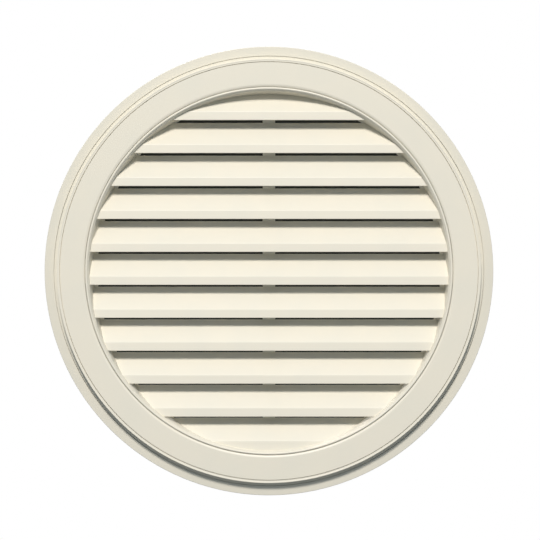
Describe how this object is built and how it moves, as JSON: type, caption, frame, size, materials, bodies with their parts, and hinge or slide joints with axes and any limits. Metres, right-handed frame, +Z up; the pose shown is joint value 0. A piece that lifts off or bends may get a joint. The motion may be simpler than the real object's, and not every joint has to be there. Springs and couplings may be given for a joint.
{
  "type": "round gable vent",
  "caption": "Round louvred gable vent for an outside wall, with a screened moulded base and a clip-on trim ring that hides its fixing screws.",
  "frame": {"origin": "centre of the flange's back face, on the plane of the wall", "axes": "+X to the right seen from the front, +Y into the wall, +Z up"},
  "size_m": [0.6927, 0.0372, 0.6928],
  "materials": {
    "moulding": "satin",
    "mesh": "matt"
  },
  "bodies": {
    "root": {"vent_base": "moulding", "trim_ring": "moulding", "insect_screen": "mesh"}
  },
  "joints": []
}
